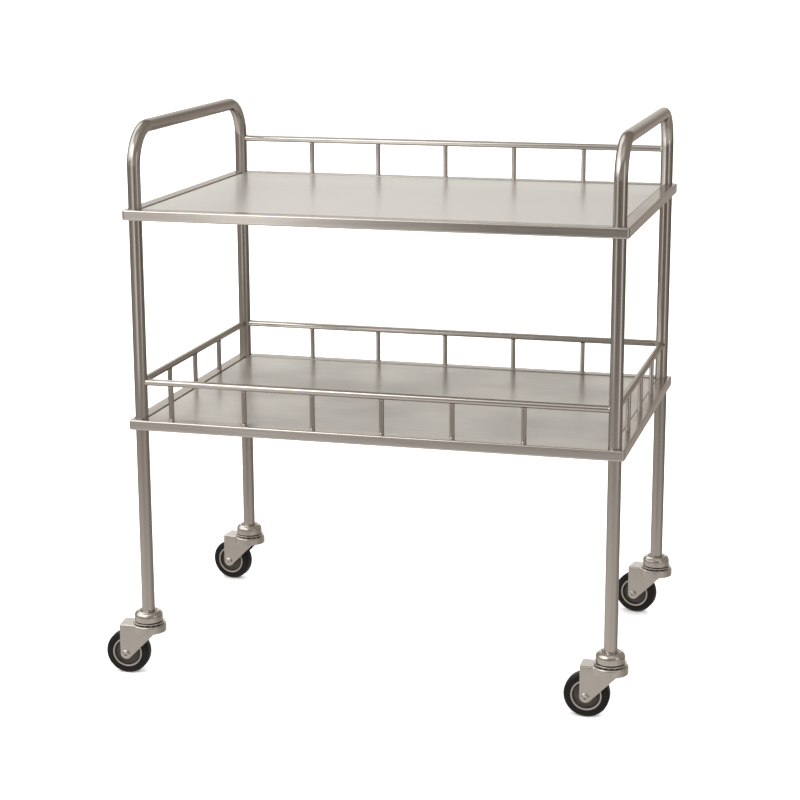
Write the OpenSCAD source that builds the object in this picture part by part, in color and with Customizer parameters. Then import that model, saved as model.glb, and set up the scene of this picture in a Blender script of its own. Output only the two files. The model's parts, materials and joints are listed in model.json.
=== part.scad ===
// Two-shelf stainless instrument cart on four swivel casters.
// Frame: millimetres, +Z up, floor at z = 0, front of the cart towards -Y.
// The origin is on the floor under the middle of the whole cart with its
// casters trailing to the left, so the shelves sit cart_x to the right of it.

/* [Shelves] */
// Shelf length, left to right
shelf_w = 762; // [640:1:915]
// Shelf depth, front to back
shelf_d = 508; // [420:1:610]
// Height of the upper shelf's rim above the floor
upper_z = 735; // [640:1:820]
// Height of the lower shelf's rim above the floor
lower_z = 413; // [340:1:480]
// Width of the raised rim around each shelf
rim_w = 20; // [17:0.5:26]
// Height of the rim's outer face
rim_h = 16; // [13:0.5:20]
// Drop of the panel below the rim's top
panel_drop = 1.5; // [1.2:0.1:3]
// Gap between the panel's edge and the rim
panel_gap = 1.2; // [0.8:0.1:2]
// Plan radius of the shelf corners
corner_r = 3; // [1:0.5:5]

/* [End frames] */
// Outer diameter of the leg and handle tube
tube_d = 20; // [16:0.1:23]
// Wall of the tube
tube_wall = 1.2; // [0.9:0.1:2]
// Distance from the shelf's edges to the leg's centre line
post_inset = 16; // [14.5:0.5:20]
// Height of the handle's top above the upper rim
handle_rise = 129; // [110:1:160]
// Bend radius of the handle, on the tube's centre line
bend_r = 58; // [35:1:60]

/* [Guard rails] */
// Diameter of the guard rails
rail_d = 10.5; // [8:0.1:12]
// Height of a rail's centre line above the rim
rail_rise = 57; // [48:1:68]
// Diameter of the uprights under the rails
upright_d = 7.5; // [5:0.05:9]
// Uprights under each back rail
back_uprights = 5; // [3:1:6]
// Spacing of the upper back uprights, as a share of the distance between the legs
upper_back_pitch = 0.1596; // [0.14:0.0001:0.17]
// Spacing of the lower back uprights, as a share of the distance between the legs
lower_back_pitch = 0.1623; // [0.14:0.0001:0.17]
// Shift of both back rows from the middle, as a share of the distance between the legs
back_shift = -0.0062; // [-0.02:0.0001:0.02]
// Uprights under each side rail
side_uprights = 3; // [1:1:3]
// Spacing of the left uprights, as a share of the distance between the legs
left_pitch = 0.2353; // [0.22:0.0001:0.26]
// Spacing of the right uprights, as a share of the distance between the legs
right_pitch = 0.2521; // [0.22:0.0001:0.26]
// Place of the first side uprights from the middle, as a share of the distance between the legs
side_first = -0.25; // [-0.28:0.0001:-0.22]
// Uprights under the lower front rail
front_uprights = 6; // [3:1:6]
// Spacing of the front uprights, as a share of the distance between the legs
front_pitch = 0.1473; // [0.13:0.0001:0.15]
// Spacing of the two front uprights at the left, as a share of the distance between the legs
front_first_bay = 0.1603; // [0.145:0.0001:0.17]
// Place of the right front upright from the middle, as a share of the distance between the legs
front_last = 0.3164; // [0.29:0.0001:0.33]

/* [Casters] */
// Diameter of the wheels
wheel_d = 69; // [55:1:80]
// Width of the tyre's tread
tyre_w = 21; // [17:0.5:23]
// Distance of the axle behind the swivel axis
trail = 34; // [28:0.5:38]
// Radius of the fork's round crown
crown_r = 27; // [25:0.5:30]
// Outer width of the fork
fork_w = 34; // [32:0.5:38]
// Thickness of the fork's side plates
fork_t = 2.5; // [2:0.1:3]
// Rest turn of the front left caster
front_left_turn = 5; // [-180:1:180]
// Rest turn of the front right caster
front_right_turn = 1; // [-180:1:180]
// Rest turn of the back left caster
back_left_turn = -8; // [-180:1:180]
// Rest turn of the back right caster
back_right_turn = -11; // [-180:1:180]

/* [Hidden] */
$fn = 96;

// Clearances: between fixed pieces, in running fits, and past a free edge
fixed_gap = 0.05;
run_gap = 0.05;
free_gap = 0.3;

// Frame positions
tube_r = tube_d / 2;
post_x = shelf_w / 2 - post_inset;
post_y = shelf_d / 2 - post_inset;
handle_z = upper_z + handle_rise - tube_r;
bend_clear = 4;
handle_bend = min(bend_r, handle_rise - tube_r - rail_rise - bend_clear);

// Shelf build-up, measured down from the rim's top
sheet_t = 1.5;
panel_t = 1.2;
ledge_w = 14;
ledge_drop = panel_drop + panel_t;
return_w = 30;
edge_cut = 0.8;
rib_w = 50;
rib_foot = 14;
rib_h = 9;
rib_inset = 6;
cut_past = 1;

// Caster heights
wheel_r = wheel_d / 2;
crown_clear = 1.5;
crown_h = 12;
crown_t = 3;
crown_edge = 3;
crown_z = wheel_d + crown_clear;
fork_z = crown_z + crown_h;
ball_r = 2.4;
ball_ring_r = 17;
ball_count = 12;
race_gap = 2.2;
ball_z = fork_z + race_gap / 2;
race_z = fork_z + race_gap;
race_t = 1.8;
boss_r = 12;
boss_h = 1;
bell_z = race_z + race_t + boss_h;
bell_floor = 3;
leg_z = bell_z + bell_floor;

// Dust bell, built outwards from the leg: sleeve, groove, domed skirt
bell_h = 16;
sleeve_h = 16.5;
sleeve_wall = 1.8;
groove_w = 1.6;
groove_h = 4;
lip = 0.6;
bell_shoulder = 8;
sleeve_r = tube_r + sleeve_wall;
bell_mouth_r = sleeve_r + groove_w;
bell_r = bell_mouth_r + lip + bell_shoulder;
race_r = bell_r + 2.7;
race_edge = 0.6;
bell_edge = 1;

// Caster pins
socket_h = 26;
stem_r = 5.5;
stem_top = leg_z + 30;
stem_head_r = 9;
stem_head_t = 3;
axle_r = 4;
axle_tail = 1.5;
axle_head_r = 6;
axle_head_t = 2.6;
axle_head_edge = 0.6;
nut_af = 13;
nut_t = 5;

// Wheel build-up
tip_r = 9;
fork_front_x = 14;
hub_r = 9;
hub_clear = 2;
bush_r = 6;
tread_t = 11;
ring_r = wheel_r - tread_t;
ring_w = 2.6;
ring_t = 1.2;
barrel_r = ring_r - ring_w;
web_t = 5;
dish_run = 2;
barrel_wall = 1;
core_half = tyre_w / 2 - ring_t - free_gap;
shoulder_r = 5.5;

// Shift that puts the whole cart's middle at the origin
cart_x = (trail + wheel_r - crown_r) / 2;

// Casters: side along X, side along Y, rest turn
front_left = [-1, -1, front_left_turn];
front_right = [1, -1, front_right_turn];
back_left = [-1, 1, back_left_turn];
back_right = [1, 1, back_right_turn];
casters = [front_left, front_right, back_left, back_right];

// Finishes
steel = [0.72, 0.70, 0.67];
panel_steel = [0.78, 0.77, 0.75];
bright_steel = [0.80, 0.78, 0.75];
black_rubber = [0.06, 0.06, 0.06];
dark_hub = [0.20, 0.17, 0.16];

// ---------- helpers ----------

// Points of an arc about [cx, cy], from angle a0 to a1
function arc(cx, cy, r, a0, a1, n = 6) =
    [for (i = [0:n]) let (a = a0 + (a1 - a0) * i / n) [cx + r * cos(a), cy + r * sin(a)]];

// Outline of a centred rectangle with rounded corners
function round_rect(w, d, r) = concat(
    arc(w / 2 - r, d / 2 - r, r, 0, 90),
    arc(-w / 2 + r, d / 2 - r, r, 90, 180),
    arc(-w / 2 + r, -d / 2 + r, r, 180, 270),
    arc(w / 2 - r, -d / 2 + r, r, 270, 360));

// Moves the cart from its own middle to its place over the origin
module placed() {
    translate([cart_x, 0, 0]) children();
}

// Puts children at all four leg centre lines
module at_posts() {
    for (c = casters) translate([c[0] * post_x, c[1] * post_y, 0]) children();
}

// Puts children on one caster's swivel axis, turned to its rest direction
module at_caster(c) {
    placed() translate([c[0] * post_x, c[1] * post_y, 0]) rotate([0, 0, c[2]]) children();
}

// Puts children on the axle, with local Z along the axle
module at_axle() {
    translate([-trail, 0, wheel_r]) rotate([90, 0, 0]) children();
}

// ---------- end frames ----------

module tube_section() {
    difference() {
        circle(r = tube_r);
        circle(r = tube_r - tube_wall);
    }
}

// One inverted U: two legs, two bends and the handle between them
module end_tube(side) {
    half_bar = post_y - handle_bend;
    translate([side * post_x, 0, 0]) {
        translate([0, half_bar, handle_z]) rotate([90, 0, 0])
            linear_extrude(2 * half_bar) tube_section();
        for (s = [0, 1]) mirror([0, s, 0]) {
            translate([0, post_y, leg_z])
                linear_extrude(handle_z - handle_bend - leg_z) tube_section();
            translate([0, half_bar, handle_z - handle_bend]) rotate([90, 0, 90])
                rotate_extrude(angle = 90) translate([handle_bend, 0]) tube_section();
        }
    }
}

module left_end_tube() { color(steel) placed() end_tube(-1); }
module right_end_tube() { color(steel) placed() end_tube(1); }

// ---------- shelves ----------

// Flat ring of sheet between two insets from the shelf's edge
module sheet_ring(s0, s1, z0, z1, r = 0) {
    translate([0, 0, z0]) linear_extrude(z1 - z0) difference() {
        if (r > 0) polygon(round_rect(shelf_w - 2 * s0, shelf_d - 2 * s0, r));
        else square([shelf_w - 2 * s0, shelf_d - 2 * s0], center = true);
        square([shelf_w - 2 * s1, shelf_d - 2 * s1], center = true);
    }
}

// Small bevel along the rim's four top and four bottom outer edges
module edge_bevels() {
    side = edge_cut * sqrt(2);
    for (z = [-rim_h, 0]) {
        for (y = [-1, 1]) translate([0, y * shelf_d / 2, z]) rotate([45, 0, 0])
            cube([shelf_w + 2 * cut_past, side, side], center = true);
        for (x = [-1, 1]) translate([x * shelf_w / 2, 0, z]) rotate([0, 45, 0])
            cube([side, shelf_d + 2 * cut_past, side], center = true);
    }
}

// Folded rim: top flange, outer wall, bottom return, and a stepped ledge for the panel
module shelf_rim() {
    difference() {
        union() {
            sheet_ring(0, rim_w, -sheet_t, 0, corner_r);
            sheet_ring(0, sheet_t, -rim_h, 0, corner_r);
            sheet_ring(0, return_w, -rim_h, sheet_t - rim_h, corner_r);
            sheet_ring(rim_w - sheet_t, rim_w, -ledge_drop - sheet_t, 0);
            sheet_ring(rim_w - sheet_t, rim_w + ledge_w, -ledge_drop - sheet_t, -ledge_drop);
        }
        edge_bevels();
        at_posts() translate([0, 0, -rim_h - cut_past])
            cylinder(h = rim_h + 2 * cut_past, r = tube_r + fixed_gap);
    }
}

// Flat panel that rests on the ledge, notched around the legs
module shelf_panel() {
    inset = rim_w + panel_gap;
    difference() {
        translate([0, 0, -ledge_drop]) linear_extrude(panel_t)
            square([shelf_w - 2 * inset, shelf_d - 2 * inset], center = true);
        at_posts() translate([0, 0, -rim_h]) cylinder(h = rim_h, r = tube_r + free_gap);
    }
}

// Hat-section rib along the middle of the panel's underside
module shelf_stiffener() {
    rib_l = shelf_w - 2 * (rim_w + ledge_w + rib_inset);
    web = rib_w / 2 - rib_foot;
    translate([-rib_l / 2, 0, -ledge_drop]) rotate([90, 0, 90]) linear_extrude(rib_l) polygon([
        [-rib_w / 2, 0], [-web, 0], [-web, sheet_t - rib_h], [web, sheet_t - rib_h], [web, 0],
        [rib_w / 2, 0], [rib_w / 2, -sheet_t], [web + sheet_t, -sheet_t], [web + sheet_t, -rib_h],
        [-web - sheet_t, -rib_h], [-web - sheet_t, -sheet_t], [-rib_w / 2, -sheet_t]]);
}

module upper_shelf_rim() { color(steel) placed() translate([0, 0, upper_z]) shelf_rim(); }
module upper_shelf_panel() { color(panel_steel) placed() translate([0, 0, upper_z]) shelf_panel(); }
module upper_shelf_stiffener() { color(steel) placed() translate([0, 0, upper_z]) shelf_stiffener(); }
module lower_shelf_rim() { color(steel) placed() translate([0, 0, lower_z]) shelf_rim(); }
module lower_shelf_panel() { color(panel_steel) placed() translate([0, 0, lower_z]) shelf_panel(); }
module lower_shelf_stiffener() { color(steel) placed() translate([0, 0, lower_z]) shelf_stiffener(); }

// ---------- guard rails ----------

// Rail from leg to leg along X, its ends cut to fit the legs
module long_rail(side, z) {
    difference() {
        translate([-post_x, side * post_y, z + rail_rise]) rotate([0, 90, 0])
            cylinder(h = 2 * post_x, d = rail_d);
        at_posts() translate([0, 0, z]) cylinder(h = 2 * rail_rise, r = tube_r + fixed_gap);
    }
}

// Rail from leg to leg along Y
module side_rail(side, z) {
    difference() {
        translate([side * post_x, post_y, z + rail_rise]) rotate([90, 0, 0])
            cylinder(h = 2 * post_y, d = rail_d);
        at_posts() translate([0, 0, z]) cylinder(h = 2 * rail_rise, r = tube_r + fixed_gap);
    }
}

// Uprights on a rim under a long rail, their tops cut to the rail's underside
module long_uprights(places, side, z) {
    difference() {
        for (x = places) translate([x, side * post_y, z]) cylinder(h = rail_rise, d = upright_d);
        translate([-post_x, side * post_y, z + rail_rise]) rotate([0, 90, 0])
            cylinder(h = 2 * post_x, r = rail_d / 2 + fixed_gap);
    }
}

// Uprights on a rim under a side rail
module side_uprights_row(places, side, z) {
    difference() {
        for (y = places) translate([side * post_x, y, z]) cylinder(h = rail_rise, d = upright_d);
        translate([side * post_x, post_y, z + rail_rise]) rotate([90, 0, 0])
            cylinder(h = 2 * post_y, r = rail_d / 2 + fixed_gap);
    }
}

// Places of each row's uprights, from the shares of the distance between the legs
function back_places(pitch) = [for (i = [0:back_uprights - 1])
    (back_shift + (i - (back_uprights - 1) / 2) * pitch) * 2 * post_x];
function side_places(pitch) = [for (i = [0:side_uprights - 1])
    (side_first + i * pitch) * 2 * post_y];
front_places = concat(
    [for (i = [0:front_uprights - 2]) (front_last - i * front_pitch) * 2 * post_x],
    [(front_last - (front_uprights - 2) * front_pitch - front_first_bay) * 2 * post_x]);

module upper_back_rail() { color(steel) placed() long_rail(1, upper_z); }
module upper_back_uprights() { color(steel) placed() long_uprights(back_places(upper_back_pitch), 1, upper_z); }
module lower_front_rail() { color(steel) placed() long_rail(-1, lower_z); }
module lower_front_uprights() { color(steel) placed() long_uprights(front_places, -1, lower_z); }
module lower_back_rail() { color(steel) placed() long_rail(1, lower_z); }
module lower_back_uprights() { color(steel) placed() long_uprights(back_places(lower_back_pitch), 1, lower_z); }
module lower_left_rail() { color(steel) placed() side_rail(-1, lower_z); }
module lower_left_uprights() { color(steel) placed() side_uprights_row(side_places(left_pitch), -1, lower_z); }
module lower_right_rail() { color(steel) placed() side_rail(1, lower_z); }
module lower_right_uprights() { color(steel) placed() side_uprights_row(side_places(right_pitch), 1, lower_z); }

// ---------- casters: fixed to the legs ----------

// Bushing inside each leg's lower end, bored for the stem
module leg_sockets() {
    color(bright_steel) placed() at_posts() translate([0, 0, leg_z]) difference() {
        cylinder(h = socket_h, r = tube_r - tube_wall - fixed_gap);
        translate([0, 0, -cut_past]) cylinder(h = socket_h + 2 * cut_past, r = stem_r + fixed_gap);
    }
}

// Stem with its riveted head under the fork's crown
module swivel_stems() {
    head_z = fork_z - crown_t - run_gap - stem_head_t;
    color(bright_steel) placed() at_posts() {
        translate([0, 0, head_z]) cylinder(h = stem_head_t, r = stem_head_r);
        translate([0, 0, head_z]) cylinder(h = stem_top - head_z, r = stem_r);
    }
}

// Ring of balls that each caster turns on
module swivel_balls() {
    color(bright_steel) placed() at_posts() for (i = [0:ball_count - 1])
        rotate([0, 0, i * 360 / ball_count]) translate([ball_ring_r, 0, ball_z]) sphere(r = ball_r);
}

// Ring-shaped space the balls run in
module ball_track() {
    translate([0, 0, ball_z]) rotate_extrude() translate([ball_ring_r, 0])
        circle(r = ball_r + run_gap);
}

// Dust bell: floor under the leg, sleeve around it, and an open domed skirt
module bell(c) {
    color(bright_steel) at_caster(c) translate([0, 0, bell_z]) rotate_extrude() polygon(concat(
        [[stem_r + fixed_gap, 0], [bell_r - bell_edge, 0], [bell_r, bell_edge]],
        arc(bell_r - bell_shoulder, bell_h - bell_shoulder, bell_shoulder, 0, 90),
        [[bell_mouth_r, bell_h - lip], [bell_mouth_r, bell_h - groove_h],
         [sleeve_r, bell_h - groove_h], [sleeve_r, sleeve_h - lip], [sleeve_r - lip, sleeve_h],
         [tube_r + fixed_gap, sleeve_h], [tube_r + fixed_gap, bell_floor],
         [stem_r + fixed_gap, bell_floor]]));
}

// Upper raceway plate with a boss against the bell
module race(c) {
    color(bright_steel) at_caster(c) difference() {
        translate([0, 0, race_z]) rotate_extrude() polygon([
            [stem_r + fixed_gap, 0], [race_r - race_edge, 0], [race_r, race_edge],
            [race_r, race_t - race_edge], [race_r - race_edge, race_t], [boss_r, race_t],
            [boss_r, race_t + boss_h], [stem_r + fixed_gap, race_t + boss_h]]);
        ball_track();
    }
}

// ---------- casters: turn with the swivel ----------

// Outline of a side plate: square at the back, slanting up to the crown at the front
function plate_outline() =
    let (dx = fork_front_x + trail, dz = crown_z - wheel_r,
         turn = atan2(dz, dx) - acos(tip_r / sqrt(dx * dx + dz * dz)))
    concat([[-trail - tip_r, fork_z], [-trail - tip_r, wheel_r]],
        arc(-trail, wheel_r, tip_r, 180, 360 + turn, 14),
        [[fork_front_x, crown_z], [fork_front_x, fork_z]]);

// Round crown of the fork, open underneath
module crown() {
    rotate_extrude() polygon(concat(
        [[stem_r + run_gap, fork_z - crown_t], [stem_r + run_gap, fork_z]],
        arc(crown_r - crown_edge, fork_z - crown_edge, crown_edge, 90, 0),
        arc(crown_r - crown_edge, crown_z + crown_edge, crown_edge, 0, -90),
        [[crown_r - crown_t, crown_z + crown_edge], [crown_r - crown_t, fork_z - crown_t]]));
}

module fork(c) {
    color(bright_steel) at_caster(c) difference() {
        union() {
            crown();
            for (s = [0, 1]) mirror([0, s, 0]) translate([0, -fork_w / 2 + fork_t, 0])
                rotate([90, 0, 0]) linear_extrude(fork_t) polygon(plate_outline());
            translate([-trail - tip_r, -fork_w / 2, fork_z - fork_t])
                cube([trail + tip_r - stem_head_r, fork_w, fork_t]);
        }
        ball_track();
        at_axle() cylinder(h = fork_w + 2 * cut_past, r = axle_r + fixed_gap, center = true);
    }
}

// Axle bolt: domed head at the near side, shaft through both plates and the nut
module axle(c) {
    color(bright_steel) at_caster(c) at_axle() {
        translate([0, 0, -fork_w / 2 - nut_t - axle_tail])
            cylinder(h = fork_w + nut_t + axle_tail, r = axle_r);
        translate([0, 0, fork_w / 2]) rotate_extrude() polygon(concat(
            [[0, 0], [axle_head_r, 0]],
            [for (a = [0:15:75]) [axle_head_r * cos(a),
                axle_head_edge + (axle_head_t - axle_head_edge) * sin(a)]],
            [[0, axle_head_t]]));
    }
}

module nut(c) {
    color(bright_steel) at_caster(c) at_axle() translate([0, 0, -fork_w / 2 - nut_t]) difference() {
        cylinder(h = nut_t, d = nut_af / cos(30), $fn = 6);
        translate([0, 0, -cut_past]) cylinder(h = nut_t + 2 * cut_past, r = axle_r + fixed_gap);
    }
}

// ---------- casters: turn with the wheel ----------

// Wheel centre: hub, dished web and the barrel that carries the tyre
module hub(c) {
    hub_half = fork_w / 2 - fork_t - hub_clear;
    color(dark_hub) at_caster(c) at_axle() rotate_extrude() polygon([
        [bush_r + fixed_gap, -hub_half], [hub_r, -hub_half], [hub_r, -web_t / 2],
        [barrel_r - dish_run, -web_t / 2], [barrel_r - barrel_wall, -core_half],
        [ring_r, -core_half], [ring_r, core_half], [barrel_r - barrel_wall, core_half],
        [barrel_r - dish_run, web_t / 2],
        [hub_r, web_t / 2], [hub_r, hub_half], [bush_r + fixed_gap, hub_half]]);
}

// Sleeve bearing pressed in the hub, just short of the fork's plates
module bushing(c) {
    long = fork_w - 2 * fork_t - 2 * free_gap;
    color(bright_steel) at_caster(c) at_axle() difference() {
        cylinder(h = long, r = bush_r, center = true);
        cylinder(h = long + 2 * cut_past, r = axle_r + run_gap, center = true);
    }
}

// Bright ring on each face of the wheel, just inside the tyre
module rings(c) {
    color(bright_steel) at_caster(c) at_axle() for (s = [0, 1]) mirror([0, 0, s])
        translate([0, 0, core_half]) difference() {
            cylinder(h = ring_t, r = ring_r);
            translate([0, 0, -cut_past]) cylinder(h = ring_t + 2 * cut_past, r = barrel_r);
        }
}

// Rubber tyre: flat tread, round shoulders
module tyre(c) {
    half = tyre_w / 2;
    inner = ring_r + fixed_gap;
    color(black_rubber) at_caster(c) at_axle() rotate_extrude() polygon(concat(
        [[inner, -half]],
        arc(wheel_r - shoulder_r, shoulder_r - half, shoulder_r, -90, 0),
        arc(wheel_r - shoulder_r, half - shoulder_r, shoulder_r, 0, 90),
        [[inner, half]]));
}

// ---------- assembly ----------

left_end_tube();
right_end_tube();
upper_shelf_rim();
upper_shelf_panel();
upper_shelf_stiffener();
lower_shelf_rim();
lower_shelf_panel();
lower_shelf_stiffener();
upper_back_rail();
upper_back_uprights();
lower_front_rail();
lower_front_uprights();
lower_back_rail();
lower_back_uprights();
lower_left_rail();
lower_left_uprights();
lower_right_rail();
lower_right_uprights();
leg_sockets();
swivel_stems();
swivel_balls();
bell(front_left);  // front_left_bell
race(front_left);  // front_left_race
fork(front_left);  // front_left_fork
axle(front_left);  // front_left_axle
nut(front_left);  // front_left_nut
hub(front_left);  // front_left_hub
bushing(front_left);  // front_left_bushing
rings(front_left);  // front_left_rings
tyre(front_left);  // front_left_tyre
bell(front_right);  // front_right_bell
race(front_right);  // front_right_race
fork(front_right);  // front_right_fork
axle(front_right);  // front_right_axle
nut(front_right);  // front_right_nut
hub(front_right);  // front_right_hub
bushing(front_right);  // front_right_bushing
rings(front_right);  // front_right_rings
tyre(front_right);  // front_right_tyre
bell(back_left);  // back_left_bell
race(back_left);  // back_left_race
fork(back_left);  // back_left_fork
axle(back_left);  // back_left_axle
nut(back_left);  // back_left_nut
hub(back_left);  // back_left_hub
bushing(back_left);  // back_left_bushing
rings(back_left);  // back_left_rings
tyre(back_left);  // back_left_tyre
bell(back_right);  // back_right_bell
race(back_right);  // back_right_race
fork(back_right);  // back_right_fork
axle(back_right);  // back_right_axle
nut(back_right);  // back_right_nut
hub(back_right);  // back_right_hub
bushing(back_right);  // back_right_bushing
rings(back_right);  // back_right_rings
tyre(back_right);  // back_right_tyre
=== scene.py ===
"""Looks of a two-shelf stainless instrument cart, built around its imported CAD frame.

Every sub-assembly is a class: it holds its sizes, models its pieces in metres in the cart's
own frame, dresses them in a finish and hands them to the body they move with.
"""

import json
import logging
import math
from dataclasses import dataclass, field
from enum import Enum
from typing import Callable, Iterable, Optional, Sequence

import bmesh
import bpy
from mathutils import Matrix, Vector


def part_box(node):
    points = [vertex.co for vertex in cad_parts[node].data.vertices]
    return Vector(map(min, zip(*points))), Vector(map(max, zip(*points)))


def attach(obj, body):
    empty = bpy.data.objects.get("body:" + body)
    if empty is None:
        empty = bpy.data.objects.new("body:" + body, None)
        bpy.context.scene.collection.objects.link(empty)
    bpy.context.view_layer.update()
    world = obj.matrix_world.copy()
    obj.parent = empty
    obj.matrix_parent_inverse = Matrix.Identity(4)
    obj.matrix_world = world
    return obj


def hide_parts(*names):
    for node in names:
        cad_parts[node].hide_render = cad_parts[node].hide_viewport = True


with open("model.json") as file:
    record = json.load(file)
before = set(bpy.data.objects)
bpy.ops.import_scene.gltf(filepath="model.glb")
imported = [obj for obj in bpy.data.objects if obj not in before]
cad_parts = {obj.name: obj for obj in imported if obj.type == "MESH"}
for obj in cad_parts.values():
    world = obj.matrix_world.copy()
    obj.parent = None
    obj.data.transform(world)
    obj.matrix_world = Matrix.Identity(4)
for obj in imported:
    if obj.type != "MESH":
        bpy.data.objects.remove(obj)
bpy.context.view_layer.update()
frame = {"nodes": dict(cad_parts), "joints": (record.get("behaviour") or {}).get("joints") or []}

LOG = logging.getLogger("instrument_cart")
MM = 0.001
FULL_TURN = 2.0 * math.pi
QUARTER_TURN = 0.5 * math.pi
SHARP_ANGLE = math.radians(32.0)
WELD_TOLERANCE = 1e-6
CLOSE = 0.1 * MM
CUT_PAST = 9.0 * MM
UPRIGHT_CLEARANCE = 10.0 * MM
GRAIN_LAYER = "grain"
GRAIN_TURN = 0.25

Point = tuple[float, float]
Triple = tuple[float, float, float]
Colour = Triple
Socket = bpy.types.NodeSocket
EdgeTest = Callable[[bmesh.types.BMEdge], bool]


class Grain(Enum):
    """Direction that a brushed finish runs in."""

    ALONG_X = "along the shelf"
    ALONG_UV = "along the piece's own U"


class Side(Enum):
    """End of the cart, by its direction along X."""

    LEFT = -1
    RIGHT = 1


class Level(Enum):
    """Shelf, by its height."""

    UPPER = "upper"
    LOWER = "lower"


class Owner(Enum):
    """What a piece of a caster moves with."""

    CART = "cart"
    SWIVEL = "swivel"
    WHEEL = "wheel"


class Work(Enum):
    """What a tool object does to the piece it meets."""

    CUT = "DIFFERENCE"
    JOIN = "UNION"


# ---------------------------------------------------------------- node trees


class NodeSketch:
    """Short way of writing a shader node tree."""

    def __init__(self, tree: bpy.types.NodeTree) -> None:
        """Start on an emptied tree.

        Args:
            tree: The material's or world's node tree.
        """
        self.tree = tree
        tree.nodes.clear()

    def add(self, kind: str, settings: Optional[dict] = None, **inputs: object) -> bpy.types.Node:
        """Add a node and feed its inputs.

        Args:
            kind: The node's type name without the ShaderNode prefix.
            settings: Values of the node's own properties.
            **inputs: Values or output sockets for inputs, with _ for a space in the name.

        Returns:
            The new node.
        """
        node = self.tree.nodes.new("ShaderNode" + kind)
        for name, value in (settings or {}).items():
            setattr(node, name, value)
        for name, value in inputs.items():
            key = int(name[1:]) if name[1:].isdigit() else name.replace("_", " ")
            socket = node.inputs[key]
            if isinstance(value, Socket):
                self.tree.links.new(value, socket)
            else:
                socket.default_value = value
        return node

    def maths(self, operation: str, a: object, b: object = 0.0) -> Socket:
        """Combine two numbers.

        Args:
            operation: The Math node's operation.
            a: First value or socket.
            b: Second value or socket.

        Returns:
            The result socket.
        """
        return self.add("Math", {"operation": operation}, _0=a, _1=b).outputs[0]

    def ramp(self, factor: Socket, stops: Sequence[tuple[float, Colour]]) -> Socket:
        """Map a number to a colour.

        Args:
            factor: The number's socket.
            stops: Positions and linear colours.

        Returns:
            The colour socket.
        """
        node = self.add("ValToRGB", None, Fac=factor)
        elements = node.color_ramp.elements
        while len(elements) < len(stops):
            elements.new(1.0)
        for element, (position, colour) in zip(elements, stops):
            element.position = position
            element.color = (*colour, 1.0)
        return node.outputs["Color"]

    def spread(self, value: Socket, low: float, high: float, start: float = 0.0, end: float = 1.0) -> Socket:
        """Stretch a value over a new range.

        Args:
            value: The value's socket.
            low: Result at the start.
            high: Result at the end.
            start: Value that the range starts at.
            end: Value that it ends at.

        Returns:
            The result socket.
        """
        return self.add(
            "MapRange", None, Value=value, From_Min=start, From_Max=end, To_Min=low, To_Max=high
        ).outputs["Result"]

    def noise(self, place: Socket, scale: float, detail: float, roughness: float = 0.5) -> Socket:
        """Add soft random patches.

        Args:
            place: Where the pattern is read.
            scale: Cycles per unit of the place.
            detail: Octaves of finer patches.
            roughness: Strength of the finer patches.

        Returns:
            The pattern's socket, 0 to 1.
        """
        return self.add(
            "TexNoise", None, Vector=place, Scale=scale, Detail=detail, Roughness=roughness
        ).outputs["Fac"]

    def bump(self, height: Socket, depth: float, strength: float, under: Optional[Socket] = None) -> Socket:
        """Raise a surface by a pattern.

        Args:
            height: The pattern's socket.
            depth: Its full height in metres.
            strength: How much of it shows.
            under: Normal of a bump that lies under it.

        Returns:
            The normal's socket.
        """
        below = {"Normal": under} if under else {}
        node = self.add("Bump", None, Strength=strength, Distance=depth, Height=height, **below)
        return node.outputs["Normal"]

    def surface(self, colour: Socket, rough: Socket, normal: Socket, metal: float = 0.0) -> bpy.types.Node:
        """Finish the tree with a surface shader.

        Args:
            colour: The colour's socket.
            rough: The roughness's socket.
            normal: The normal's socket.
            metal: 1 for bare metal.

        Returns:
            The shader's node.
        """
        shader = self.add(
            "BsdfPrincipled", None, Base_Color=colour, Metallic=metal, Roughness=rough, Normal=normal)
        self.add("OutputMaterial", None, Surface=shader.outputs["BSDF"])
        return shader


def tinted(colour: Colour, gain: float) -> Colour:
    """Scale a colour.

    Args:
        colour: Linear colour.
        gain: Factor for each channel.

    Returns:
        The scaled colour, held to at most 1.
    """
    return tuple(min(1.0, channel * gain) for channel in colour)


# ------------------------------------------------------------------ finishes


@dataclass(frozen=True)
class Finish:
    """What every finish has: a name, and the name of a record slot, which is not used."""

    name: str
    slot: str

    def material(self) -> bpy.types.Material:
        """Return the finish's material, made on first use."""
        made = bpy.data.materials.get(self.name)
        if made is None:
            made = bpy.data.materials.new(self.name)
            made.use_nodes = True
            self.sketch(NodeSketch(made.node_tree))
        return made

    def sketch(self, nodes: NodeSketch) -> None:
        """Fill the material's node tree.

        Args:
            nodes: Sketch on the empty tree.
        """
        raise NotImplementedError


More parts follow.
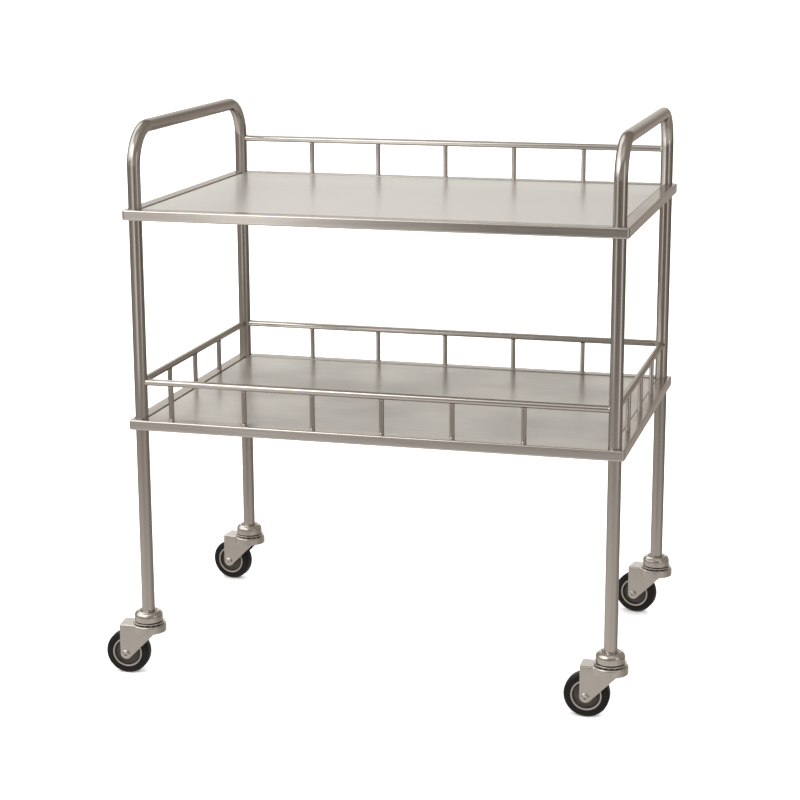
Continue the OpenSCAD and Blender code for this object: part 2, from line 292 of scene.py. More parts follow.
@dataclass(frozen=True)
class BrushedSteel(Finish):
    """Stainless steel with a drawn grain, faint streaks and handling marks."""

    tint: Colour = (0.66, 0.64, 0.615)
    roughness: float = 0.24
    roughness_swing: float = 0.03
    grain: Grain = Grain.ALONG_UV
    grain_width: float = 0.35 * MM
    grain_length: float = 60.0 * MM
    grain_depth: float = 0.10
    grain_height: float = 0.02 * MM
    broad_share: Triple = (0.3, 0.12, 0.12)
    streak: float = 0.06
    mark: float = 0.05
    mark_scale: float = 14.0
    anisotropy: float = 0.0
    wave_depth: float = 0.0
    wave_scale: float = 5.5
    cloud: float = 0.0
    cloud_scale: float = 6.5
    cloud_range: Point = (0.34, 0.66)
    edge_tint: Colour = (0.62, 0.59, 0.56)

    def sketch(self, nodes: NodeSketch) -> None:
        """Fill the material's node tree.

        Args:
            nodes: Sketch on the empty tree.
        """
        place = nodes.add("TexCoord").outputs
        source = place["UV" if self.grain is Grain.ALONG_UV else "Object"]
        across = 1.0 / self.grain_width
        stretch = (1.0 / self.grain_length, across, across)
        laid = nodes.add("Mapping", None, Vector=source, Scale=stretch).outputs["Vector"]
        fine = nodes.noise(laid, 1.0, 3.0, 0.6)
        broad_stretch = tuple(value * share for value, share in zip(stretch, self.broad_share))
        broad_laid = nodes.add("Mapping", None, Vector=source, Scale=broad_stretch).outputs["Vector"]
        broad = nodes.noise(broad_laid, 1.0, 2.0)
        marks = nodes.noise(place["Object"], self.mark_scale, 5.0, 0.62)

        light = nodes.maths("MULTIPLY", nodes.maths("ADD", fine, broad), 0.5)
        colour = nodes.ramp(light, (
            (0.30, tinted(self.tint, 1.0 - self.streak)),
            (0.70, tinted(self.tint, 1.0 + self.streak)),
        ))
        if self.cloud > 0.0:
            patches = nodes.noise(place["Object"], self.cloud_scale, 2.0, 0.45)
            gain = nodes.spread(patches, 1.0 - self.cloud, 1.0 + self.cloud, *self.cloud_range)
            colour = nodes.add("VectorMath", {"operation": "SCALE"}, _0=colour, _3=gain).outputs["Vector"]
        swing = self.roughness_swing
        rough = nodes.spread(fine, self.roughness - swing, self.roughness + swing)
        rough = nodes.maths("ADD", rough, nodes.spread(marks, -self.mark, self.mark))
        normal = nodes.bump(fine, self.grain_height, self.grain_depth)
        if self.wave_depth > 0.0:
            wave = nodes.noise(place["Object"], self.wave_scale, 1.0, 0.4)
            normal = nodes.bump(wave, self.wave_depth, 1.0, normal)
        shader = nodes.surface(colour, rough, normal, 1.0)
        shader.inputs["Specular Tint"].default_value = (*self.edge_tint, 1.0)
        if self.anisotropy > 0.0:
            shader.inputs["Anisotropic"].default_value = self.anisotropy
            shader.inputs["Anisotropic Rotation"].default_value = GRAIN_TURN
            along = nodes.add("Tangent", {"direction_type": "UV_MAP"})
            nodes.tree.links.new(along.outputs["Tangent"], shader.inputs["Tangent"])


@dataclass(frozen=True)
class PlatedSteel(Finish):
    """Nickel-plated pressing: smooth, with a faint orange peel and turned or pressed marks."""

    tint: Colour = (0.68, 0.655, 0.62)
    roughness: float = 0.2
    peel: float = 0.05
    peel_height: float = 0.05 * MM
    peel_scale: float = 900.0
    mottle: float = 0.05
    mottle_scale: float = 70.0
    uneven: float = 0.06

    def sketch(self, nodes: NodeSketch) -> None:
        """Fill the material's node tree.

        Args:
            nodes: Sketch on the empty tree.
        """
        place = nodes.add("TexCoord").outputs["Object"]
        skin = nodes.noise(place, self.peel_scale, 2.0)
        cloud = nodes.noise(place, self.mottle_scale, 4.0, 0.6)
        colour = nodes.ramp(cloud, (
            (0.32, tinted(self.tint, 1.0 - self.mottle)),
            (0.68, tinted(self.tint, 1.0 + self.mottle)),
        ))
        rough = nodes.spread(cloud, self.roughness - self.uneven, self.roughness + self.uneven)
        nodes.surface(colour, rough, nodes.bump(skin, self.peel_height, self.peel), 1.0)


@dataclass(frozen=True)
class Moulded(Finish):
    """Rubber or plastic as it leaves a mould: fine grain, dusty bloom."""

    tint: Colour = (0.012, 0.012, 0.011)
    bloom: Colour = (0.03, 0.029, 0.027)
    roughness: float = 0.55
    pebble: float = 0.12
    pebble_height: float = 0.08 * MM
    pebble_scale: float = 1400.0
    dust_scale: float = 55.0
    gloss: float = 0.5

    def sketch(self, nodes: NodeSketch) -> None:
        """Fill the material's node tree.

        Args:
            nodes: Sketch on the empty tree.
        """
        place = nodes.add("TexCoord").outputs["Object"]
        pebbles = nodes.noise(place, self.pebble_scale, 2.0)
        dust = nodes.noise(place, self.dust_scale, 5.0, 0.65)
        colour = nodes.ramp(dust, ((0.35, self.tint), (0.75, self.bloom)))
        rough = nodes.spread(dust, self.roughness - 0.06, self.roughness + 0.1)
        shader = nodes.surface(colour, rough, nodes.bump(pebbles, self.pebble_height, self.pebble))
        shader.inputs["Specular IOR Level"].default_value = self.gloss


@dataclass(frozen=True)
class Finishes:
    """Every finish the cart wears."""

    tube: BrushedSteel = BrushedSteel(
        "drawn_tube_steel", "frame_tube", tint=(0.62, 0.595, 0.57), roughness=0.17, streak=0.08, mark=0.03)
    rail: BrushedSteel = BrushedSteel(
        "drawn_rail_steel", "guard_rail", tint=(0.64, 0.615, 0.59), roughness=0.14, grain_width=0.25 * MM,
        mark=0.03)
    rim: BrushedSteel = BrushedSteel(
        "folded_rim_steel", "shelf_rim", tint=(0.70, 0.68, 0.655), roughness=0.22, grain_width=0.5 * MM,
        grain_depth=0.12, mark=0.02, streak=0.13, anisotropy=0.3)
    panel: BrushedSteel = BrushedSteel(
        "brushed_panel_steel", "shelf_panel", tint=(0.76, 0.75, 0.735), roughness=0.30,
        grain_width=0.6 * MM, grain_length=120 * MM, grain_depth=0.12, streak=0.05, mark=0.04,
        anisotropy=0.6, wave_depth=1.2 * MM, edge_tint=(0.85, 0.84, 0.82))
    # Same steel as the upper panel, with a darker tint and edge tint: painted shade of the lower shelf under
    # the upper one.
    lower_panel: BrushedSteel = BrushedSteel(
        "brushed_lower_panel_steel", "shelf_panel", tint=(0.69, 0.675, 0.655), roughness=0.30,
        grain_width=0.6 * MM, grain_length=120 * MM, grain_depth=0.12, streak=0.06, mark=0.05,
        anisotropy=0.6, wave_depth=1.2 * MM, cloud=0.14, edge_tint=(0.80, 0.785, 0.765))
    rib: BrushedSteel = BrushedSteel(
        "mill_rib_steel", "shelf_rib", roughness=0.38, grain=Grain.ALONG_X, grain_depth=0.2)
    hidden: PlatedSteel = PlatedSteel("turned_pin_steel", "hidden_steel", roughness=0.25)
    cup: PlatedSteel = PlatedSteel("nickel_cup", "caster_steel", roughness=0.22)
    fork: PlatedSteel = PlatedSteel("nickel_fork", "caster_fork", roughness=0.27, mottle=0.03, uneven=0.02)
    ring: PlatedSteel = PlatedSteel("wheel_ring_steel", "wheel_ring", roughness=0.32)
    hub: Moulded = Moulded(
        "hub_brown", "wheel_hub", tint=(0.034, 0.027, 0.023), bloom=(0.062, 0.050, 0.043), roughness=0.4)
    rubber: Moulded = Moulded(
        "tyre_rubber", "tyre", tint=(0.0028, 0.0027, 0.0024), bloom=(0.0065, 0.0062, 0.0056), roughness=0.42,
        gloss=0.3)


# --------------------------------------------------------------- mesh making


class Stock:
    """A bmesh being worked, and the operations the cart's pieces share."""

    def __init__(self) -> None:
        """Start with an empty mesh."""
        self.bm = bmesh.new()

    def chain(self, points: Iterable[Vector], closed: bool = False) -> list[bmesh.types.BMEdge]:
        """Add a run of edges.

        Args:
            points: The run's corners.
            closed: Whether the last corner joins the first.

        Returns:
            The new edges.
        """
        verts = [self.bm.verts.new(point) for point in points]
        pairs = list(zip(verts, verts[1:]))
        if closed:
            pairs.append((verts[-1], verts[0]))
        return [self.bm.edges.new(pair) for pair in pairs]

    def turn(self, outline: Sequence[Point], segments: int, closed: bool = False) -> "Stock":
        """Spin an outline of radius and height fully around Z.

        Args:
            outline: Corners as radius and height; a corner on the axis makes a pole.
            segments: Steps of the full turn.
            closed: Whether the outline is a ring in itself.

        Returns:
            This stock.
        """
        edges = self.chain([Vector((radius, 0.0, height)) for radius, height in outline], closed)
        verts = list({vert for edge in edges for vert in edge.verts})
        bmesh.ops.spin(
            self.bm, geom=edges + verts, cent=(0, 0, 0), axis=(0, 0, 1), angle=FULL_TURN,
            steps=segments, use_merge=True, use_duplicate=False)
        return self.tidy()

    def tidy(self) -> "Stock":
        """Merge doubles and turn every face outwards."""
        bmesh.ops.remove_doubles(self.bm, verts=self.bm.verts, dist=WELD_TOLERANCE)
        bmesh.ops.recalc_face_normals(self.bm, faces=self.bm.faces)
        return self

    def soften(self, radius: float, segments: int = 2, where: Optional[EdgeTest] = None) -> "Stock":
        """Round the sharp edges.

        Args:
            radius: Size of the rounding.
            segments: Steps across it.
            where: Test of an edge; every sharp edge passes without it.

        Returns:
            This stock.
        """
        edges = [
            edge for edge in self.bm.edges
            if len(edge.link_faces) == 2 and edge.calc_face_angle(0.0) > SHARP_ANGLE
            and (where is None or where(edge))]
        if edges:
            bmesh.ops.bevel(
                self.bm, geom=edges, offset=radius, offset_type="OFFSET", segments=segments,
                profile=0.5, affect="EDGES", material=-1, clamp_overlap=True)
        return self

    def box(self, low: Sequence[float], high: Sequence[float]) -> "Stock":
        """Add a block.

        Args:
            low: Lowest corner.
            high: Highest corner.

        Returns:
            This stock.
        """
        low, high = Vector(low), Vector(high)
        made = bmesh.ops.create_cube(self.bm, size=1.0)["verts"]
        bmesh.ops.scale(self.bm, vec=high - low, verts=made)
        bmesh.ops.translate(self.bm, vec=(low + high) / 2, verts=made)
        return self

    def rod(self, base: Sequence[float], radius: float, height: float, segments: int = 64) -> "Stock":
        """Add an upright round bar.

        Args:
            base: Centre of its lower end.
            radius: Its radius.
            height: Its height.
            segments: Sides around it.

        Returns:
            This stock.
        """
        made = bmesh.ops.create_cone(
            self.bm, cap_ends=True, segments=segments, radius1=radius, radius2=radius, depth=height)["verts"]
        bmesh.ops.translate(self.bm, vec=Vector(base) + Vector((0, 0, height / 2)), verts=made)
        return self

    def move(self, matrix: Matrix) -> "Stock":
        """Transform the whole mesh.

        Args:
            matrix: The transform.

        Returns:
            This stock.
        """
        bmesh.ops.transform(self.bm, matrix=matrix, verts=self.bm.verts)
        return self

    def repeat(self, places: Sequence[Matrix]) -> "Stock":
        """Copy the mesh to several places, dropping the first one.

        Args:
            places: One transform for each copy.

        Returns:
            This stock.
        """
        first = list(self.bm.verts) + list(self.bm.edges) + list(self.bm.faces)
        for place in places:
            copied = bmesh.ops.duplicate(self.bm, geom=first)["geom"]
            verts = [item for item in copied if isinstance(item, bmesh.types.BMVert)]
            bmesh.ops.transform(self.bm, matrix=place, verts=verts)
        bmesh.ops.delete(self.bm, geom=[item for item in first if isinstance(item, bmesh.types.BMVert)])
        return self

    def object(self, name: str) -> bpy.types.Object:
        """Turn the mesh into a scene object.

        Args:
            name: The object's name.

        Returns:
            The object, at the origin.
        """
        mesh = bpy.data.meshes.new(name)
        self.bm.to_mesh(mesh)
        self.bm.free()
        made = bpy.data.objects.new(name, mesh)
        bpy.context.scene.collection.objects.link(made)
        return made


def carve(base: bpy.types.Object, tool: bpy.types.Object, work: Work = Work.CUT) -> None:
    """Apply a boolean with a tool object, then drop the tool.

    Args:
        base: Object that is changed.
        tool: Object that cuts it or joins it.
        work: What the tool does.
    """
    cutter = base.modifiers.new("carve", "BOOLEAN")
    cutter.operation = work.value
    cutter.solver = "EXACT"
    cutter.object = tool
    result = bpy.data.meshes.new_from_object(base.evaluated_get(bpy.context.evaluated_depsgraph_get()))
    base.modifiers.clear()
    old = base.data
    base.data = result
    bpy.data.meshes.remove(old)
    bpy.data.objects.remove(tool)


def shade(piece: bpy.types.Object) -> None:
    """Shade a piece smooth with crisp edges, and level the normals of its flats.

    Args:
        piece: The finished piece.
    """
    mesh = bmesh.new()
    mesh.from_mesh(piece.data)
    bmesh.ops.remove_doubles(mesh, verts=mesh.verts, dist=WELD_TOLERANCE)
    for face in mesh.faces:
        face.smooth = True
    for edge in mesh.edges:
        edge.smooth = len(edge.link_faces) == 2 and edge.calc_face_angle(0.0) < SHARP_ANGLE
    mesh.to_mesh(piece.data)
    mesh.free()
    levelled = piece.modifiers.new("level_flats", "WEIGHTED_NORMAL")
    levelled.keep_sharp = True


def wrap_uv(piece: bpy.types.Object, girth: float, place: Callable[[Vector], Point]) -> None:
    """Give each corner of a round piece its U and V from a rule, kept whole across the seam.

    Args:
        piece: The piece.
        girth: Length of one full turn, in metres.
        place: Rule that maps a position to U in metres and V in turns.
    """
    layer = piece.data.uv_layers.new(name=GRAIN_LAYER)
    for polygon in piece.data.polygons:
        corners = [piece.data.loops[index].vertex_index for index in polygon.loop_indices]
        spots = [place(piece.data.vertices[corner].co) for corner in corners]
        first = spots[0][1]
        for index, (along, around) in zip(polygon.loop_indices, spots):
            layer.data[index].uv = (along, (around - round(around - first)) * girth)


def lay_uv(piece: bpy.types.Object, place: Callable[[Vector, Vector], Point]) -> None:
    """Give each corner of a flat-sided piece its U and V from a rule.

    Args:
        piece: The piece.
        place: Rule that maps a face's middle and a corner's position to U and V in metres.
    """
    layer = piece.data.uv_layers.new(name=GRAIN_LAYER)
    for polygon in piece.data.polygons:
        for index in polygon.loop_indices:
            spot = piece.data.vertices[piece.data.loops[index].vertex_index].co
            layer.data[index].uv = place(polygon.center, spot)


def hand_over(piece: bpy.types.Object, finish: Finish, body: str, *nodes: str) -> bpy.types.Object:
    """Shade and dress a piece, and give it to its body in place of CAD nodes.

    Args:
        piece: The finished piece.
        finish: Its finish.
        body: The CAD body that it moves with.
        *nodes: The CAD nodes that it stands for.

    Returns:
        The piece.
    """
    shade(piece)
    piece.data.materials.clear()
    piece.data.materials.append(finish.material())
    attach(piece, body)
    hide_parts(*nodes)
    LOG.info("%s: %d faces on %s", piece.name, len(piece.data.polygons), body)
    return piece


def dress_node(name: str, finish: Finish) -> None:
    """Give a CAD node that stays its finish.

    Args:
        name: The node.
        finish: Its finish.
    """
    node = frame["nodes"][name]
    node.data.materials.clear()
    node.data.materials.append(finish.material())


# ---------------------------------------------------------------- end frames


@dataclass
class EndFrame:
    """One bent tube: front leg, handle and back leg."""

    side: Side
    finishes: Finishes
    bend: float = 58.0 * MM
    around: int = 56
    bend_steps: int = 28
    node: str = field(init=False)

    def __post_init__(self) -> None:
        """Read the tube's place from its CAD node."""
        self.node = f"{self.side.name.lower()}_end_tube"
        low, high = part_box(self.node)
        self.radius = (high.x - low.x) / 2
        self.x = (low.x + high.x) / 2
        self.reach = high.y - self.radius
        self.foot = low.z
        self.top = high.z - self.radius

    def path_place(self, spot: Vector) -> Point:
        """Find how far along and around the tube a point of its surface is.

        Args:
            spot: The point.

        Returns:
            Length along the tube in metres, and the angle around it in turns.
        """
        corner = self.reach - self.bend
        spring = self.top - self.bend
        leg = spring - self.foot
        arc = self.bend * QUARTER_TURN
        if spot.z < spring:
            side = math.copysign(1.0, spot.y)
            along = spot.z - self.foot if side < 0 else 2 * (leg + arc + corner) - (spot.z - self.foot)
            out = abs(spot.y) - self.reach
        elif abs(spot.y) < corner:
            along = leg + arc + spot.y + corner
            out = spot.z - self.top
        else:
            side = math.copysign(1.0, spot.y)
            turned = math.atan2(spot.z - spring, abs(spot.y) - corner)
            swept = leg + self.bend * turned
            along = swept if side < 0 else 2 * (leg + arc + corner) - swept
            out = math.hypot(spot.z - spring, abs(spot.y) - corner) - self.bend
        return along, math.atan2(out, spot.x - self.x) / FULL_TURN

    def build(self) -> None:
        """Sweep the tube by extruding its rim and spinning it round both bends."""
        stock = Stock()
        bm = stock.bm
        ring = bmesh.ops.create_circle(bm, cap_ends=True, segments=self.around, radius=self.radius)["verts"]
        bmesh.ops.translate(bm, vec=(self.x, -self.reach, self.foot), verts=ring)
        edges = list(bm.edges)
        leg = self.top - self.bend - self.foot
        bar = 2 * (self.reach - self.bend)
        steps = ((Vector((0, 0, leg)), -1), (Vector((0, bar, 0)), 1), (Vector((0, 0, -leg)), 0))
        for shift, bend_side in steps:
            pulled = bmesh.ops.extrude_edge_only(bm, edges=edges)["geom"]
            verts = [item for item in pulled if isinstance(item, bmesh.types.BMVert)]
            edges = [item for item in pulled if isinstance(item, bmesh.types.BMEdge)]
            bmesh.ops.translate(bm, vec=shift, verts=verts)
            if bend_side == 0:
                continue
            centre = (self.x, bend_side * (self.reach - self.bend), self.top - self.bend)
            last = bmesh.ops.spin(
                bm, geom=edges, cent=centre, axis=(-1, 0, 0), angle=QUARTER_TURN,
                steps=self.bend_steps, use_merge=False, use_duplicate=False)["geom_last"]
            edges = [item for item in last if isinstance(item, bmesh.types.BMEdge)]
        bmesh.ops.holes_fill(bm, edges=edges, sides=self.around)
        stock.tidy()
        tube = stock.object(f"bent_tube_{self.side.name.lower()}")
        wrap_uv(tube, FULL_TURN * self.radius, self.path_place)
        hand_over(tube, self.finishes.tube, "cart", self.node)


# ------------------------------------------------------------------- shelves


@dataclass
class Shelf:
    """A shelf: folded rim, brushed panel and the rib under it."""

    level: Level
    finishes: Finishes
    post_radius: float
    post_reach: Vector
    rim_width: float = 20.0 * MM
    sheet: float = 1.5 * MM
    ledge: float = 14.0 * MM
    lip: float = 30.0 * MM
    corner_radius: float = 4.8 * MM
    edge_radius: float = 2.6 * MM
    lip_radius: float = 0.7 * MM
    panel_edge: float = 0.25 * MM
    post_gap: float = 0.45 * MM
    gap_trim: float = 0.9 * MM
    drill_sides: int = 72
    grain_shift: float = 2.0

    def __post_init__(self) -> None:
        """Read the shelf's place from its CAD nodes."""
        self.node = f"{self.level.value}_shelf"
        self.low, self.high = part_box(f"{self.node}_rim")
        self.panel_low, self.panel_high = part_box(f"{self.node}_panel")
        self.centre = (self.low + self.high) / 2

    def posts(self) -> list[Vector]:
        """Return the four leg centre lines, at the shelf's underside."""
        centre, reach = self.centre, self.post_reach
        return [
            Vector((centre.x + sx * reach.x, centre.y + sy * reach.y, self.low.z))
            for sx in (-1, 1) for sy in (-1, 1)]

    def bore_posts(self, piece: bpy.types.Object) -> None:
        """Cut the four leg holes.

        Args:
            piece: The rim or panel.
        """
        drills = Stock()
        depth = self.high.z - self.low.z + 2 * CUT_PAST
        for post in self.posts():
            base = post - Vector((0, 0, CUT_PAST))
            drills.rod(base, self.post_radius + self.post_gap, depth, self.drill_sides)
        carve(piece, drills.object("leg_drills"))

    def step(
        self, stock: Stock, edges: list[bmesh.types.BMEdge], inset: float, drop: float
    ) -> list[bmesh.types.BMEdge]:
        """Extrude a rectangle to a smaller or larger one.

        Args:
            stock: Mesh being made.
            edges: The rectangle's edges.
            inset: How far each side moves in.
            drop: How far it moves down.

        Returns:
            The new rectangle's edges.
        """
        pulled = bmesh.ops.extrude_edge_only(stock.bm, edges=edges)["geom"]
        for vert in (item for item in pulled if isinstance(item, bmesh.types.BMVert)):
            vert.co.x += math.copysign(1.0, self.centre.x - vert.co.x) * inset
            vert.co.y += math.copysign(1.0, self.centre.y - vert.co.y) * inset
            vert.co.z -= drop
        return [item for item in pulled if isinstance(item, bmesh.types.BMEdge)]

    def inset_of(self, vert: bmesh.types.BMVert) -> float:
        """Return how far in from the shelf's edge a corner is."""
        return min(
            vert.co.x - self.low.x, self.high.x - vert.co.x, vert.co.y - self.low.y, self.high.y - vert.co.y)

    def along_strip(self, middle: Vector, spot: Vector) -> Point:
        """Find where a point of the rim is along and across its strip.

        Args:
            middle: Middle of the face that the point belongs to.
            spot: The point.

        Returns:
            Length along the strip and across it, in metres.
        """
        half = (self.high - self.low) / 2
        gap_x = half.x - abs(middle.x - self.centre.x)
        gap_y = half.y - abs(middle.y - self.centre.y)
        if gap_y < gap_x:
            return spot.x, abs(spot.y) + spot.z
        return spot.y + self.grain_shift, abs(spot.x) + spot.z

    def build_rim(self) -> None:
        """Extrude the folded section step by step around the shelf, then round and drill it."""
        height = self.high.z - self.low.z
        seat = self.high.z - self.panel_low.z
        section = (
            (0.0, 0.0), (self.rim_width, 0.0), (self.rim_width, seat), (self.rim_width + self.ledge, seat),
            (self.rim_width + self.ledge, seat + self.sheet),
            (self.rim_width - self.sheet, seat + self.sheet),
            (self.rim_width - self.sheet, self.sheet), (self.sheet, self.sheet),
            (self.sheet, height - self.sheet), (self.lip, height - self.sheet), (self.lip, height),
            (0.0, height))
        stock = Stock()
        corners = ((self.low.x, self.low.y), (self.high.x, self.low.y), (self.high.x, self.high.y),
                   (self.low.x, self.high.y))
        edges = stock.chain([Vector((x, y, self.high.z)) for x, y in corners], closed=True)
        for here, there in zip(section, section[1:] + section[:1]):
            edges = self.step(stock, edges, there[0] - here[0], there[1] - here[1])
        stock.tidy()

        def level(edge: bmesh.types.BMEdge) -> bool:
            """Return whether an edge runs level."""
            return abs(edge.verts[0].co.z - edge.verts[1].co.z) < CLOSE

        def within(edge: bmesh.types.BMEdge, inset: float) -> bool:
            """Return whether an edge is no farther in from the shelf's sides than the inset."""
            return max(self.inset_of(vert) for vert in edge.verts) < inset

        arc_inset = self.corner_radius * (1 - math.cos(QUARTER_TURN / 2)) + CLOSE
        stock.soften(self.corner_radius, 6, lambda edge: within(edge, CLOSE) and not level(edge))
        stock.soften(self.edge_radius, 5, lambda edge: within(edge, arc_inset) and level(edge) and (
            edge.verts[0].co.z > self.high.z - CLOSE or edge.verts[0].co.z < self.low.z + CLOSE))
        stock.soften(
            self.lip_radius, 3,
            lambda edge: min(vert.co.z for vert in edge.verts) > self.high.z - CLOSE
            and abs(min(self.inset_of(vert) for vert in edge.verts) - self.rim_width) < CLOSE)
        rim = stock.object(f"folded_rim_{self.level.value}")
        self.bore_posts(rim)
        lay_uv(rim, self.along_strip)
        hand_over(rim, self.finishes.rim, "cart", f"{self.node}_rim")

    def build_panel(self) -> None:
        """Cut the panel from a plate, notched round the legs."""
        trim = Vector((self.gap_trim, self.gap_trim, 0.0))
        stock = Stock().box(self.panel_low + trim, self.panel_high - trim)
        stock.soften(self.panel_edge, 2)
        panel = stock.object(f"brushed_panel_{self.level.value}")
        self.bore_posts(panel)
        lay_uv(panel, lambda middle, spot: (spot.x, spot.y + spot.z + self.high.z))
        # The lower shelf's panel takes the darker copy of the panel steel, which is painted shade.
        finish = self.finishes.panel if self.level is Level.UPPER else self.finishes.lower_panel
        hand_over(panel, finish, "cart", f"{self.node}_panel")

    def build(self) -> None:
        """Make the rim and the panel, and dress the rib."""
        self.build_rim()
        self.build_panel()
        dress_node(f"{self.node}_stiffener", self.finishes.rib)


# --------------------------------------------------------------- guard rails


@dataclass
class GuardRail:
    """A rail with its row of uprights."""

    place: str
    finishes: Finishes
    uprights: Sequence[float]
    along_x: bool = True
    weld: float = 1.1 * MM
    upright_weld: float = 0.77 * MM
    flare: Sequence[Point] = ((1.0, 0.0), (0.42, 0.55), (0.1, 1.3), (0.0, 2.4))
    rail_sunk: float = 0.8 * MM
    upright_sunk: float = 0.6 * MM
    around: int = 36

    def __post_init__(self) -> None:
        """Read the rail's and the uprights' sizes from their CAD nodes."""
        self.rail_low, self.rail_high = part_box(f"{self.place}_rail")
        self.row_low, self.row_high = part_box(f"{self.place}_uprights")
        self.radius = (self.rail_high.z - self.rail_low.z) / 2
        across = self.row_high.y - self.row_low.y if self.along_x else self.row_high.x - self.row_low.x
        self.upright_radius = across / 2
        self.centre = (self.rail_low + self.rail_high) / 2

    def bar(self, radius: float, length: float, weld: float) -> Stock:
        """Turn a round bar with a small weld flare at each end.

        Args:
            radius: The bar's radius.
            length: Its length along Z, from 0.
            weld: How far each flare stands out.

        Returns:
            The bar, standing on the origin.
        """
        half = [(radius + out * weld, up * weld) for out, up in self.flare]
        outline = [(0.0, 0.0), *half]
        outline += [(reach, length - height) for reach, height in reversed(half)]
        return Stock().turn([*outline, (0.0, length)], self.around)

    def build(self) -> None:
        """Make the rail and its uprights."""
        axis = 0 if self.along_x else 1
        start, end = self.rail_low[axis] - self.rail_sunk, self.rail_high[axis] + self.rail_sunk
        angle, hinge = (QUARTER_TURN, "Y") if self.along_x else (-QUARTER_TURN, "X")
        turn = Matrix.Rotation(angle, 4, hinge)
        base = self.centre.copy()
        base[axis] = start
        rail = self.bar(self.radius, end - start, self.weld)
        rail.move(Matrix.Translation(base) @ turn)
        piece = rail.object(f"round_rail_{self.place}")
        other = 1 - axis

        def around_rail(spot: Vector) -> Point:
            """Return the length along the rail, and the angle round it in turns."""
            swing = math.atan2(spot.z - self.centre.z, spot[other] - self.centre[other])
            return spot[axis], swing / FULL_TURN

        wrap_uv(piece, FULL_TURN * self.radius, around_rail)
        hand_over(piece, self.finishes.rail, "cart", f"{self.place}_rail")

        foot, head = self.row_low.z, self.rail_low.z + self.upright_sunk
        post = self.bar(self.upright_radius, head - foot, self.upright_weld)
        places = []
        for distance in self.uprights:
            spot = self.centre.copy()
            spot[axis] = distance
            spot.z = foot
            places.append(Matrix.Translation(spot))
        row = post.repeat(places).object(f"uprights_{self.place}")

        def around_upright(spot: Vector) -> Point:
            """Return the height, and the angle round the nearest upright in turns."""
            nearest = min(self.uprights, key=lambda mark: abs(mark - spot[axis]))
            swing = math.atan2(spot[other] - self.centre[other], spot[axis] - nearest)
            return spot.z + nearest, swing / FULL_TURN

        wrap_uv(row, FULL_TURN * self.upright_radius, around_upright)
        hand_over(row, self.finishes.rail, "cart", f"{self.place}_uprights")


# ------------------------------------------------------------------- casters


